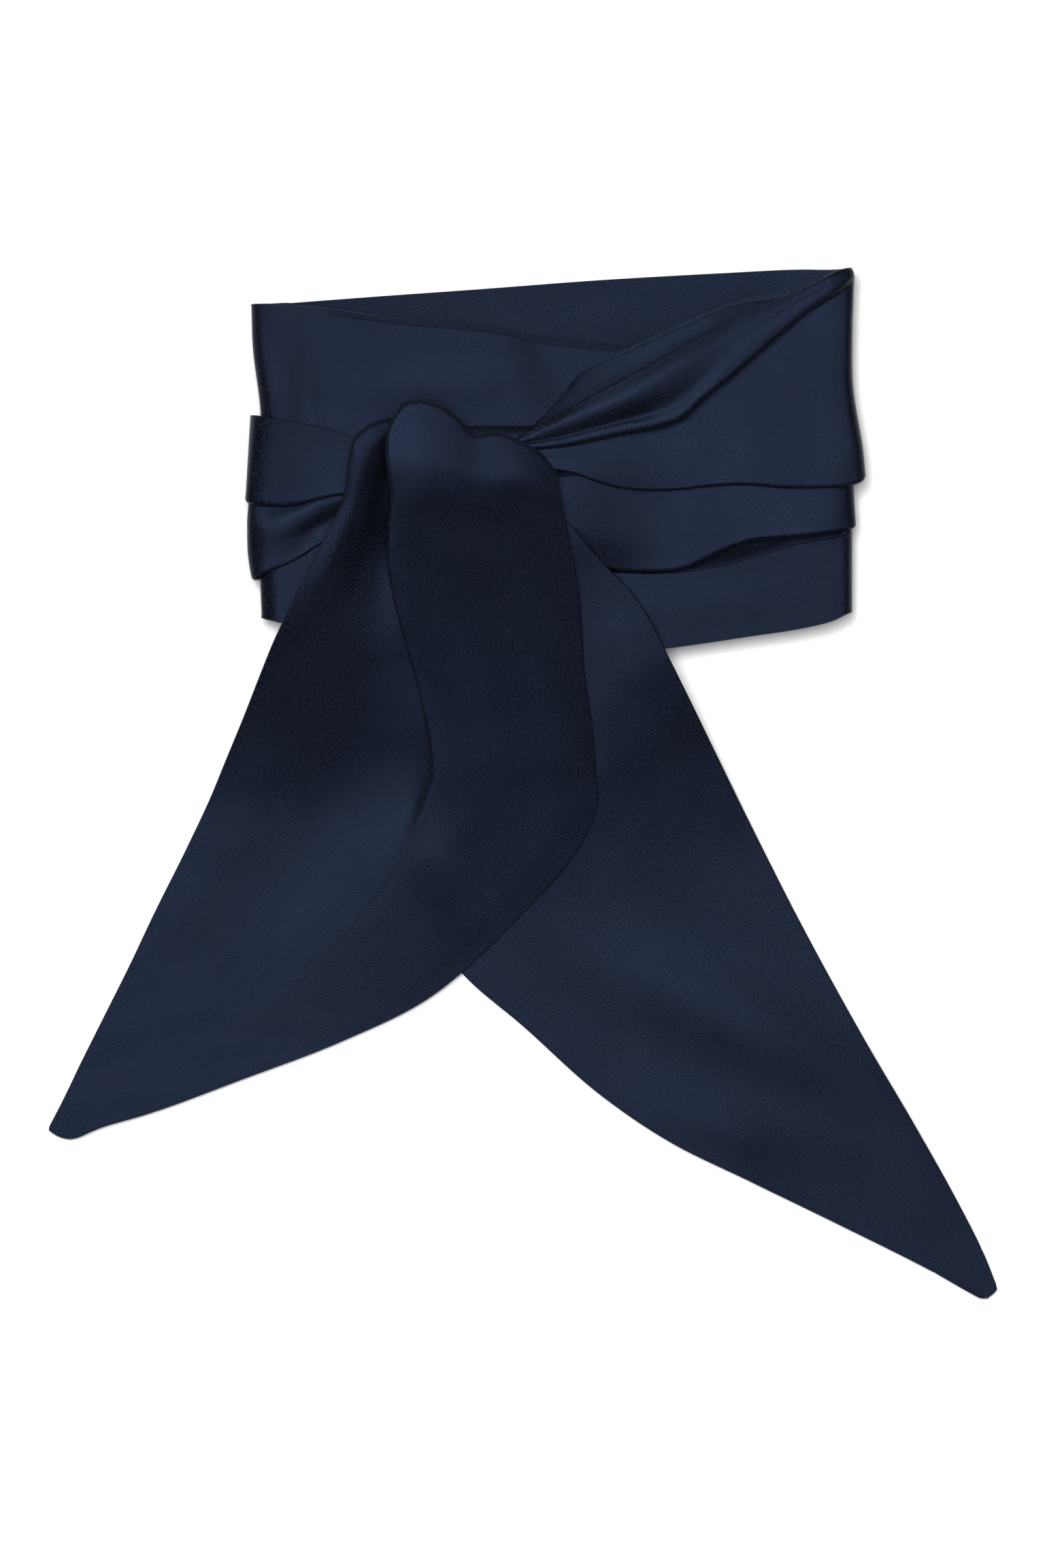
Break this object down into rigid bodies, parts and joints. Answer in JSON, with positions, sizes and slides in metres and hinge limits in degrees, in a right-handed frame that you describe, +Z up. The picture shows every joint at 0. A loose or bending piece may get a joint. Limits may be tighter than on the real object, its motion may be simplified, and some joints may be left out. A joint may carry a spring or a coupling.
{
  "type": "necktie",
  "caption": "Wide self-lined satin scarf tie, wrapped twice round the neck, tied in a half knot with two tapering tails, laid flat.",
  "frame": {"origin": "middle of the outline of the whole tie, on the surface that it lies on", "axes": "+X to the right seen from the front, +Y towards the top of the neckband, +Z up from the surface to the front face"},
  "size_m": [0.316, 0.3425, 0.0211],
  "materials": {
    "satin_face": "navy satin, soft sheen",
    "satin_lining": "navy satin, soft sheen",
    "satin_edge": "navy satin, rolled seam",
    "interlining": "plain woven interlining",
    "thread": "navy sewing thread"
  },
  "bodies": {
    "root": {"centre_panel_face": "satin_face", "centre_panel_interlining": "interlining", "centre_panel_lining": "satin_lining", "left_first_turn": "satin_face", "right_first_turn": "satin_face", "back_inner_strand": "satin_lining", "back_outer_strand": "satin_lining", "left_second_turn": "satin_face", "right_second_turn": "satin_face", "right_wrap_panel": "satin_face", "right_wrap_roll": "satin_face", "right_wrap_hem_flap": "satin_face", "right_wrap_lower_pleat": "satin_face", "left_strap_upper_pleat": "satin_face", "left_strap_lower_pleat": "satin_face", "knot_core": "satin_face", "knot_overfold": "satin_face", "rear_tail_root": "satin_face"},
    "rear_tail": {"rear_tail_face": "satin_face", "rear_tail_lining": "satin_lining", "rear_tail_edge_seam": "satin_edge", "rear_tail_tip_tack": "thread"},
    "front_tail": {"front_tail_face": "satin_face", "front_tail_lining": "satin_lining", "front_tail_edge_seam": "satin_edge", "front_tail_tip_tack": "thread"}
  },
  "joints": [
    {"name": "front_tail_lift", "type": "hinge", "parent": "root", "child": "front_tail", "pos_m": [-0.023, 0.098, 0.0176], "axis": [-1, 0, 0], "range_deg": [0, 120]},
    {"name": "rear_tail_lift", "type": "hinge", "parent": "root", "child": "rear_tail", "pos_m": [0.0273, -0.0151, 0.001], "axis": [-0.6613, -0.7501, 0], "range_deg": [0, 100]}
  ]
}
